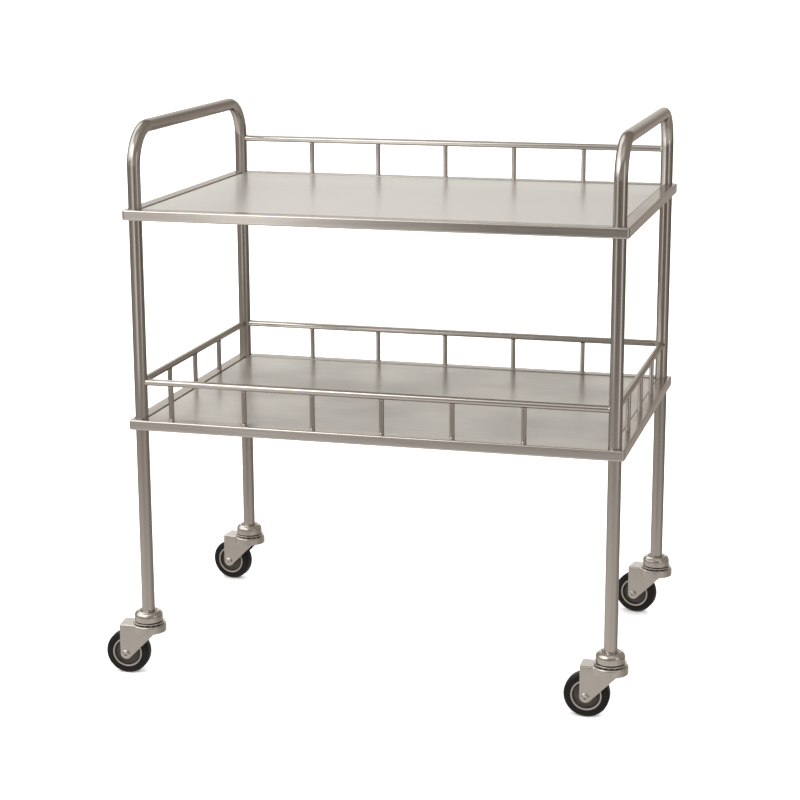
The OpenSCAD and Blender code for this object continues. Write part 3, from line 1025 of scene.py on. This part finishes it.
@dataclass
class Caster:
    """A swivel caster, from the bell under its leg to the tyre."""

    corner: str
    finishes: Finishes
    tube_radius: float
    around: int = 72
    tube_gap: float = 0.08 * MM
    sleeve_wall: float = 1.8 * MM
    groove_width: float = 1.6 * MM
    groove_depth: float = 4.0 * MM
    brim_drop: float = 0.5 * MM
    bell_floor: float = 3.0 * MM
    bell_dome: float = 8.2 * MM
    race_plate: float = 1.8 * MM
    race_boss: float = 12.0 * MM
    stem_bore: float = 5.6 * MM
    fork_half: float = 17.0 * MM
    plate: float = 2.5 * MM
    crown_radius: float = 27.0 * MM
    crown_height: float = 12.0 * MM
    crown_wall: float = 3.0 * MM
    fold: float = 2.6 * MM
    foot_fold: float = 1.8 * MM
    ear_blend: float = 7.0 * MM
    slot_start: float = 5.0 * MM
    side_inset: float = 0.02 * MM
    side_edge: float = 0.45 * MM
    tip_radius: float = 9.0 * MM
    front_reach: float = 14.0 * MM
    hub_radius: float = 9.0 * MM
    tread: float = 11.0 * MM
    ring_width: float = 2.6 * MM
    tyre_half: float = 10.5 * MM
    tyre_round: float = 5.0 * MM
    core_half: float = 9.0 * MM
    hub_bore: float = 4.3 * MM
    rib_half: float = 3.6 * MM
    dish_half: float = 2.6 * MM
    ring_proud: float = 1.2 * MM
    ring_sunk: float = 0.6 * MM
    bolt_radius: float = 4.0 * MM
    bolt_head: float = 6.0 * MM
    bolt_tail: float = 6.5 * MM
    bolt_clearance: float = 0.1 * MM
    nut_across: float = 13.0 * MM
    nut_height: float = 5.0 * MM

    def __post_init__(self) -> None:
        """Read the swivel's and the axle's places from the joints."""
        joints = {joint["name"]: joint for joint in frame["joints"]}
        self.swivel_at = Vector(joints[f"{self.corner}_swivel_turn"]["pos_m"])
        wheel = joints[f"{self.corner}_wheel_spin"]
        self.axle_at = Vector(wheel["pos_m"])
        turned = math.atan2(-wheel["axis"][0], wheel["axis"][1])
        self.trail = (self.axle_at - self.swivel_at).to_2d().length
        self.leg = Matrix.Translation((self.swivel_at.x, self.swivel_at.y, 0))
        self.swivel = self.leg @ Matrix.Rotation(turned, 4, "Z")
        self.axle = (
            Matrix.Translation(self.axle_at) @ Matrix.Rotation(turned, 4, "Z")
            @ Matrix.Rotation(QUARTER_TURN, 4, "X"))
        self.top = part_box(self.name("fork"))[1].z
        self.wheel_radius = self.axle_at.z
        self.ring_radius = self.wheel_radius - self.tread

    def name(self, part: str) -> str:
        """Return a piece's name on this caster."""
        return f"{self.corner}_{part}"

    def put(self, stock: Stock, place: Matrix, part: str, finish: Finish, owner: Owner, node: str) -> None:
        """Place a worked piece and hand it over.

        Args:
            stock: The piece in its own frame.
            place: Where it goes.
            part: The piece's name.
            finish: Its finish.
            owner: What it moves with.
            node: The CAD node's last word.
        """
        piece = stock.move(place).object(self.name(part))
        body = owner.value if owner is Owner.CART else self.name(owner.value)
        hand_over(piece, finish, body, self.name(node))

    def build_bell(self) -> None:
        """Turn the dust bell: floor, inner sleeve, groove and domed skirt."""
        low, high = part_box(self.name("bell"))
        foot, crest = low.z, high.z
        skirt = (high.x - low.x) / 2
        bore = self.tube_radius + self.tube_gap
        sleeve = self.tube_radius + self.sleeve_wall
        mouth = sleeve + self.groove_width
        brim = crest - self.brim_drop
        groove = brim - self.groove_depth
        floor = foot + self.bell_floor
        outline = (
            (self.stem_bore, foot), (skirt, foot), (skirt, brim), (mouth, brim), (mouth, groove),
            (sleeve, groove), (sleeve, crest), (bore, crest), (bore, floor), (self.stem_bore, floor))
        stock = Stock().turn(outline, self.around, closed=True)
        stock.soften(self.bell_dome, 12, lambda edge: all(
            vert.co.z > brim - CLOSE and vert.co.xy.length > skirt - CLOSE for vert in edge.verts))
        stock.soften(0.4 * MM, 3)
        self.put(stock, self.leg, "dust_bell", self.finishes.cup, Owner.CART, "bell")

    def build_race(self) -> None:
        """Turn the upper raceway plate."""
        low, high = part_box(self.name("race"))
        rim, step = (high.x - low.x) / 2, low.z + self.race_plate
        outline = (
            (self.stem_bore, low.z), (rim, low.z), (rim, step), (self.race_boss, step),
            (self.race_boss, high.z), (self.stem_bore, high.z))
        stock = Stock().turn(outline, self.around, closed=True).soften(0.6 * MM, 3)
        self.put(stock, self.leg, "race_plate", self.finishes.cup, Owner.CART, "race")

    def build_cap(self) -> bpy.types.Object:
        """Press the fork's top: a round crown that flows into the ear behind it."""
        back = -self.trail - self.tip_radius
        blend_y = self.fork_half + self.ear_blend
        blend_x = -math.sqrt((self.crown_radius + self.ear_blend) ** 2 - blend_y ** 2)
        meet = math.atan2(blend_y, blend_x)
        stock = Stock()
        bm = stock.bm
        tip = [bm.verts.new((self.crown_radius, 0.0, self.top))]
        for centre, sweep, steps in (
                ((0.0, 0.0, 0.0), meet, 34), ((blend_x, blend_y, 0.0), QUARTER_TURN - meet, 8)):
            swept = bmesh.ops.spin(
                bm, geom=tip, cent=centre, axis=(0, 0, 1), angle=sweep, steps=steps,
                use_merge=False, use_duplicate=False)["geom_last"]
            tip = [item for item in swept if isinstance(item, bmesh.types.BMVert)]
        for shift in ((back - blend_x, 0.0, 0.0), (0.0, -self.fork_half, 0.0)):
            pulled = bmesh.ops.extrude_vert_indiv(bm, verts=tip)["verts"]
            bmesh.ops.translate(bm, vec=shift, verts=pulled)
            tip = pulled
        bmesh.ops.mirror(
            bm, geom=list(bm.verts) + list(bm.edges), matrix=Matrix.Identity(4), axis="Y",
            merge_dist=WELD_TOLERANCE)
        bmesh.ops.remove_doubles(bm, verts=bm.verts, dist=WELD_TOLERANCE)
        bmesh.ops.dissolve_verts(bm, verts=[
            vert for vert in bm.verts if vert.co.x < back + CLOSE and abs(vert.co.y) < CLOSE])
        face = bmesh.ops.contextual_create(bm, geom=bm.edges)["faces"]
        pulled = bmesh.ops.extrude_face_region(bm, geom=face, use_keep_orig=True)["geom"]
        verts = [item for item in pulled if isinstance(item, bmesh.types.BMVert)]
        bmesh.ops.translate(bm, vec=(0, 0, -self.crown_height), verts=verts)
        stock.tidy()
        foot = self.top - self.crown_height
        stock.soften(self.fold, 6, lambda edge: all(vert.co.z > self.top - CLOSE for vert in edge.verts)
                     and max(vert.co.x for vert in edge.verts) > back + CLOSE)
        stock.soften(self.foot_fold, 4, lambda edge: all(
            vert.co.z < foot + CLOSE and (abs(vert.co.y) > self.fork_half + 0.8 * MM or vert.co.x > 0.0)
            for vert in edge.verts))
        cap = stock.object(self.name("pressed_fork"))
        well = Stock().rod((0, 0, foot - CUT_PAST), self.crown_radius - self.crown_wall,
                           self.crown_height + CUT_PAST - self.crown_wall, self.around)
        carve(cap, well.object("crown_well"))
        inner = self.fork_half - self.plate
        slot = Stock().box(
            (back - CUT_PAST, -inner, foot - CUT_PAST),
            (-self.slot_start, inner, self.top - self.crown_wall))
        carve(cap, slot.object("ear_slot"))
        bore = Stock().rod((0, 0, foot), self.stem_bore, self.crown_height * 2, 40)
        carve(cap, bore.object("stem_bore"))
        return cap

    def build_sides(self) -> bpy.types.Object:
        """Cut both side plates from one block: square at the back, slanted in front, round at the axle."""
        back, half = -self.trail - self.tip_radius, self.fork_half - self.side_inset
        reach = Vector((self.front_reach + self.trail, self.top - self.crown_height - self.wheel_radius))
        lean = math.atan2(reach.y, reach.x) - math.acos(self.tip_radius / reach.length)
        ceiling = self.top - self.fold - MM
        stock = Stock()
        bm = stock.bm
        heel = bm.verts.new((back, -half, self.wheel_radius))
        swept = bmesh.ops.spin(
            bm, geom=[heel], cent=(-self.trail, -half, self.wheel_radius), axis=(0, -1, 0),
            angle=math.pi + lean, steps=20, use_merge=False, use_duplicate=False)["geom_last"]
        toe = next(item for item in swept if isinstance(item, bmesh.types.BMVert))
        path = [toe] + [bm.verts.new(spot) for spot in (
            (self.front_reach, -half, self.top - self.crown_height), (self.front_reach, -half, ceiling),
            (back, -half, ceiling))] + [heel]
        for pair in zip(path, path[1:]):
            bm.edges.new(pair)
        face = bmesh.ops.contextual_create(bm, geom=bm.edges)["faces"]
        pulled = bmesh.ops.extrude_face_region(bm, geom=face, use_keep_orig=True)["geom"]
        verts = [item for item in pulled if isinstance(item, bmesh.types.BMVert)]
        bmesh.ops.translate(bm, vec=(0, 2 * half, 0), verts=verts)
        stock.tidy()
        stock.soften(self.side_edge, 3, lambda edge: abs(edge.verts[0].co.y - edge.verts[1].co.y) < CLOSE
                     and min(vert.co.z for vert in edge.verts) < ceiling - CLOSE)
        sides = stock.object("side_blank")
        inner = self.fork_half - self.plate
        gap = Stock().box((back - CUT_PAST, -inner, 0.0), (self.front_reach + CUT_PAST, inner, self.top))
        carve(sides, gap.object("wheel_gap"))
        drill = Stock().rod((0, 0, -half * 2), self.bolt_radius + self.bolt_clearance, half * 4, 40)
        axle = Matrix.Translation((-self.trail, 0, self.wheel_radius))
        drill.move(axle @ Matrix.Rotation(QUARTER_TURN, 4, "X"))
        carve(sides, drill.object("axle_drill"))
        return sides

    def build_fork(self) -> None:
        """Join the pressed cap and the side plates."""
        fork = self.build_cap()
        carve(fork, self.build_sides(), Work.JOIN)
        fork.data.transform(self.swivel)
        hand_over(fork, self.finishes.fork, self.name("swivel"), self.name("fork"))

    def build_axle(self) -> None:
        """Turn the axle bolt with its dimpled head, and make the nut."""
        half, head, shaft = self.fork_half, self.bolt_head, self.bolt_radius
        tail = -half - self.bolt_tail
        outline = (
            (0.0, tail), (shaft, tail), (shaft, half), (head - 0.5 * MM, half), (head, half + 0.6 * MM),
            (head, half + 1.4 * MM), (0.62 * head, half + 2.6 * MM), (0.40 * head, half + 2.4 * MM),
            (0.0, half + 1.7 * MM))
        bolt = Stock().turn(outline, 48)
        bolt.soften(0.35 * MM, 2)
        self.put(bolt, self.axle, "axle_bolt", self.finishes.cup, Owner.SWIVEL, "axle")

        corners = self.nut_across / math.cos(math.pi / 6) / 2
        nut = Stock().rod((0, 0, -half - self.nut_height), corners, self.nut_height, 6)
        nut.soften(0.6 * MM, 3)
        self.put(nut, self.axle, "axle_nut", self.finishes.cup, Owner.SWIVEL, "nut")

    def build_wheel(self) -> None:
        """Turn the dished centre, the bright rings and the tyre."""
        edge, barrel = self.core_half, self.ring_radius - self.ring_width
        hub_half = self.fork_half - self.plate - 2 * MM
        half_section = (
            (self.hub_radius, hub_half), (self.hub_radius + 1.2 * MM, self.rib_half),
            (barrel - 4 * MM, self.dish_half), (barrel - 1.2 * MM, self.rib_half), (barrel, edge))
        upper = [(self.hub_bore, hub_half), *half_section, (self.ring_radius, edge)]
        outline = upper + [(reach, -height) for reach, height in reversed(upper)]
        hub = Stock().turn(outline, self.around, closed=True).soften(0.5 * MM, 2)
        self.put(hub, self.axle, "wheel_centre", self.finishes.hub, Owner.WHEEL, "hub")

        seat, face = edge - self.ring_sunk, edge + self.ring_proud
        rings = Stock().turn((
            (barrel, seat), (self.ring_radius, seat), (self.ring_radius, face), (barrel + 0.2 * MM, face)),
            self.around, closed=True).soften(0.4 * MM, 3)
        rings.repeat((Matrix.Identity(4), Matrix.Rotation(math.pi, 4, "X")))
        self.put(rings, self.axle, "bright_rings", self.finishes.ring, Owner.WHEEL, "rings")

        half, inner = self.tyre_half, self.ring_radius + 0.05 * MM
        tyre = Stock().turn((
            (inner, half - 0.3 * MM), (self.wheel_radius, half), (self.wheel_radius, -half),
            (inner, 0.3 * MM - half)), 96, closed=True)
        tyre.soften(self.tyre_round, 9, lambda edge: all(
            vert.co.xy.length > self.wheel_radius - CLOSE for vert in edge.verts))
        tyre.soften(0.5 * MM, 2)
        self.put(tyre, self.axle, "rubber_tyre", self.finishes.rubber, Owner.WHEEL, "tyre")
        dress_node(self.name("bushing"), self.finishes.hidden)

    def build(self) -> None:
        """Make every piece of the caster."""
        self.build_bell()
        self.build_race()
        self.build_fork()
        self.build_axle()
        self.build_wheel()


# -------------------------------------------------------------------- studio


@dataclass(frozen=True)
class SoftBox:
    """A soft rectangular light."""

    name: str
    spot: Triple
    aim: Triple
    width: float
    height: float
    level: float
    colour: Colour = (1.0, 0.965, 0.92)

    def hang(self) -> None:
        """Hang the light, seen in the steel but not by the camera."""
        light = bpy.data.lights.new(self.name, "AREA")
        light.shape = "RECTANGLE"
        light.size, light.size_y = self.width, self.height
        light.energy = 4.0 * self.level * self.width * self.height
        light.color = self.colour
        lamp = bpy.data.objects.new(self.name, light)
        lamp.location = self.spot
        lamp.rotation_euler = (Vector(self.aim) - Vector(self.spot)).to_track_quat("-Z", "Y").to_euler()
        lamp.visible_camera = False
        bpy.context.scene.collection.objects.link(lamp)


@dataclass(frozen=True)
class Glow:
    """A soft round brightness of the studio's upper walls, with its heading and height in degrees."""

    azimuth: float
    elevation: float
    spread: float
    level: float
    core: float = 0.35

    def aim(self) -> Triple:
        """Return the direction of the glow's middle."""
        angle, tilt = math.radians(self.azimuth), math.radians(self.elevation)
        return (math.sin(angle) * math.cos(tilt), -math.cos(angle) * math.cos(tilt), math.sin(tilt))


@dataclass
class Studio:
    """Camera, floor and soft light."""

    eye: Triple = (0.81865, -3.01652, 1.15344)
    yaw: float = 0.26481
    pitch: float = 0.23458
    roll: float = -0.00359
    focal_share: float = 2.50993
    sensor: float = 36.0
    farthest: float = 200.0
    floor_half: float = 30.0
    floor_tone: float = 0.93
    floor_roughness: float = 0.9
    wash_level: float = 2.2
    mirror_level: float = 1.0
    cream_level: float = 0.9
    dim_tint: Colour = (1.0, 0.80, 0.66)
    cream_rise: Colour = (0.0, 0.18, 0.27)
    floor_fade: Point = (0.44, 0.385)
    wall_fade: Point = (0.485, 0.515)
    wall_levels: Sequence[Point] = (
        (-180, 0.58), (-160, 0.48), (-135, 0.28), (-105, 0.22), (-75, 0.27), (-50, 0.25), (-28, 0.22),
        (-12, 0.13), (8, 0.11), (28, 0.16), (50, 0.27), (72, 0.27), (95, 0.17), (125, 0.12), (150, 0.28),
        (165, 0.52), (180, 0.58))
    floor_levels: Sequence[Point] = (
        (-180, 0.60), (-120, 0.60), (-90, 0.70), (-55, 0.66), (-15, 0.68), (10, 0.62), (45, 0.64),
        (75, 0.52), (110, 0.36), (140, 0.36), (180, 0.60))
    sky_levels: Sequence[Point] = ((0, 0.34), (12, 0.30), (30, 0.24), (55, 0.26), (75, 0.36), (90, 0.42))
    glows: Sequence[Glow] = (
        Glow(-76.0, 36.0, 38.0, 1.35), Glow(-128.0, 50.0, 26.0, 1.4), Glow(-30.0, 42.0, 22.0, 1.0),
        Glow(-165.0, 9.0, 27.0, 0.98), Glow(20.0, 66.0, 26.0, 0.65))
    softboxes: Sequence[SoftBox] = (
        SoftBox("key", (-2.4, -3.0, 2.7), (0.0, 0.0, 0.6), 2.6, 2.2, 0.55),
        SoftBox("strip_core", (-0.45, -1.09, 0.96), (-0.45, 0.0, 0.96), 0.18, 1.38, 0.60),
        SoftBox("strip_face", (-0.52, -1.09, 0.94), (-0.52, 0.0, 0.94), 0.56, 1.34, 0.26),
        SoftBox("strip_spill", (-0.54, -1.09, 0.94), (-0.54, 0.0, 0.94), 0.96, 1.34, 0.13),
        SoftBox("strip_top", (-0.62, -1.20, 1.62), (0.0, -0.20, 0.80), 0.80, 0.70, 0.95),
        SoftBox("side_strip", (1.48, -0.75, 0.85), (0.30, 0.0, 0.85), 0.42, 1.50, 0.42))

    def set_camera(self) -> None:
        """Aim the camera at the cart."""
        lens = bpy.data.cameras.new("view")
        lens.sensor_width = self.sensor
        lens.lens = self.focal_share * self.sensor
        lens.clip_end = self.farthest
        camera = bpy.data.objects.new("view", lens)
        bpy.context.scene.collection.objects.link(camera)
        ahead = Vector((
            -math.sin(self.yaw) * math.cos(self.pitch), math.cos(self.yaw) * math.cos(self.pitch),
            -math.sin(self.pitch)))
        right = Vector((math.cos(self.yaw), math.sin(self.yaw), 0.0))
        up = right.cross(ahead)
        level = Matrix((right, up, -ahead)).transposed().to_4x4()
        camera.matrix_world = Matrix.Translation(self.eye) @ level @ Matrix.Rotation(self.roll, 4, "Z")
        bpy.context.scene.camera = camera

    def set_floor(self) -> None:
        """Lay the pale floor."""
        stock = Stock()
        bmesh.ops.create_grid(stock.bm, x_segments=2, y_segments=2, size=self.floor_half)
        floor = stock.object("pale_floor")
        paper = bpy.data.materials.new("pale_paper")
        paper.use_nodes = True
        nodes = NodeSketch(paper.node_tree)
        tone = (self.floor_tone,) * 3 + (1.0,)
        shader = nodes.add("BsdfPrincipled", None, Base_Color=tone, Roughness=self.floor_roughness)
        nodes.add("OutputMaterial", None, Surface=shader.outputs["BSDF"])
        floor.data.materials.append(paper)
        floor.visible_glossy = False

    def warm(self, level: float) -> Colour:
        """Return a light's colour: cream where it is bright, brown where it is dim."""
        share = min(1.0, level / self.cream_level)
        return tuple(level * (dim + rise * share) for dim, rise in zip(self.dim_tint, self.cream_rise))

    def band(
        self, nodes: NodeSketch, angle: Socket, stops: Sequence[Point], start: float, end: float
    ) -> Socket:
        """Grade light along an angle.

        Args:
            nodes: The world's sketch.
            angle: The angle's socket, in radians.
            stops: Angle in degrees and brightness of each stop.
            start: Angle that the band starts at, in degrees.
            end: Angle that it ends at, in degrees.

        Returns:
            The colour socket.
        """
        share = nodes.spread(angle, 0.0, 1.0, math.radians(start), math.radians(end))
        return nodes.ramp(share, [
            ((place - start) / (end - start), self.warm(level)) for place, level in stops])

    def set_world(self) -> None:
        """Surround the cart with a studio: white to look at, graded where steel mirrors it."""
        world = bpy.data.worlds.new("studio")
        world.use_nodes = True
        bpy.context.scene.world = world
        nodes = NodeSketch(world.node_tree)
        heading = nodes.add("TexCoord").outputs["Generated"]
        parts = nodes.add("SeparateXYZ", None, Vector=heading).outputs
        behind = nodes.maths("MULTIPLY", parts["Y"], -1.0)
        turn = nodes.maths("ARCTAN2", parts["X"], behind)
        rise = nodes.maths("ARCSINE", parts["Z"])
        height = nodes.spread(rise, 0.0, 1.0, -QUARTER_TURN, QUARTER_TURN)
        walls = self.band(nodes, turn, self.wall_levels, -180.0, 180.0)
        floor = self.band(nodes, turn, self.floor_levels, -180.0, 180.0)
        sky = self.band(nodes, rise, self.sky_levels, -90.0, 90.0)

        def blend(mask: Socket, first: object, second: object) -> Socket:
            """Return the first colour where the mask is 0 and the second where it is 1."""
            return nodes.add("Mix", {"data_type": "RGBA"}, _0=mask, _6=first, _7=second).outputs[2]

        def ease(value: Socket, start: float, end: float) -> Socket:
            """Return 0 before the start and 1 past the end, with a soft step between."""
            return nodes.add(
                "MapRange", {"interpolation_type": "SMOOTHSTEP"}, Value=value, From_Min=start, From_Max=end,
                To_Min=0.0, To_Max=1.0).outputs[0]

        for glow in self.glows:
            dot = nodes.add("VectorMath", {"operation": "DOT_PRODUCT"}, _0=heading, _1=glow.aim())
            fade, full = (math.cos(math.radians(glow.spread * share)) for share in (1.0, glow.core))
            mask = ease(dot.outputs["Value"], fade, full)
            sky = blend(mask, sky, (*self.warm(glow.level), 1.0))
        ground = blend(ease(height, *self.floor_fade), walls, floor)
        room = blend(ease(height, *self.wall_fade), ground, sky)
        mirrored = nodes.add("Background", None, Color=room, Strength=self.mirror_level)
        plain = nodes.add("Background", None, Color=(1.0, 1.0, 1.0, 1.0), Strength=self.wash_level)
        ray = nodes.add("LightPath")
        mix = nodes.add(
            "MixShader", None, Fac=ray.outputs["Is Glossy Ray"], _1=plain.outputs[0], _2=mirrored.outputs[0])
        nodes.add("OutputWorld", None, Surface=mix.outputs[0])

    def build(self) -> None:
        """Set the whole studio."""
        self.set_camera()
        self.set_floor()
        self.set_world()
        for softbox in self.softboxes:
            softbox.hang()
        scene = bpy.context.scene
        scene.view_settings.view_transform = "Standard"
        scene.view_settings.look = "None"


# ---------------------------------------------------------------------- main


def upright_marks(node: str, axis: int) -> list[float]:
    """Find each upright of a row.

    Args:
        node: The row's CAD node.
        axis: 0 along X, 1 along Y.

    Returns:
        Each upright's middle along the axis.
    """
    spots = sorted(vert.co[axis] for vert in frame["nodes"][node].data.vertices)
    starts = [0] + [
        index for index in range(1, len(spots)) if spots[index] - spots[index - 1] > UPRIGHT_CLEARANCE]
    ends = starts[1:] + [len(spots)]
    return [(spots[start] + spots[end - 1]) / 2 for start, end in zip(starts, ends)]


def main() -> None:
    """Build the cart in order and report each piece."""
    logging.basicConfig(level=logging.INFO, format="%(name)s %(message)s")
    finishes = Finishes()
    Studio().build()
    ends = [EndFrame(side, finishes) for side in Side]
    for end in ends:
        end.build()
    reach = Vector(((ends[1].x - ends[0].x) / 2, ends[0].reach, 0.0))
    for level in Level:
        Shelf(level, finishes, ends[0].radius, reach).build()
    for place, along_x in (
            ("upper_back", True), ("lower_back", True), ("lower_front", True),
            ("lower_left", False), ("lower_right", False)):
        marks = upright_marks(f"{place}_uprights", 0 if along_x else 1)
        GuardRail(place, finishes, marks, along_x).build()
    for corner in ("front_left", "front_right", "back_left", "back_right"):
        Caster(corner, finishes, ends[0].radius).build()
    for node in ("leg_sockets", "swivel_stems", "swivel_balls"):
        dress_node(node, finishes.hidden)


if __name__ == "__main__":
    main()
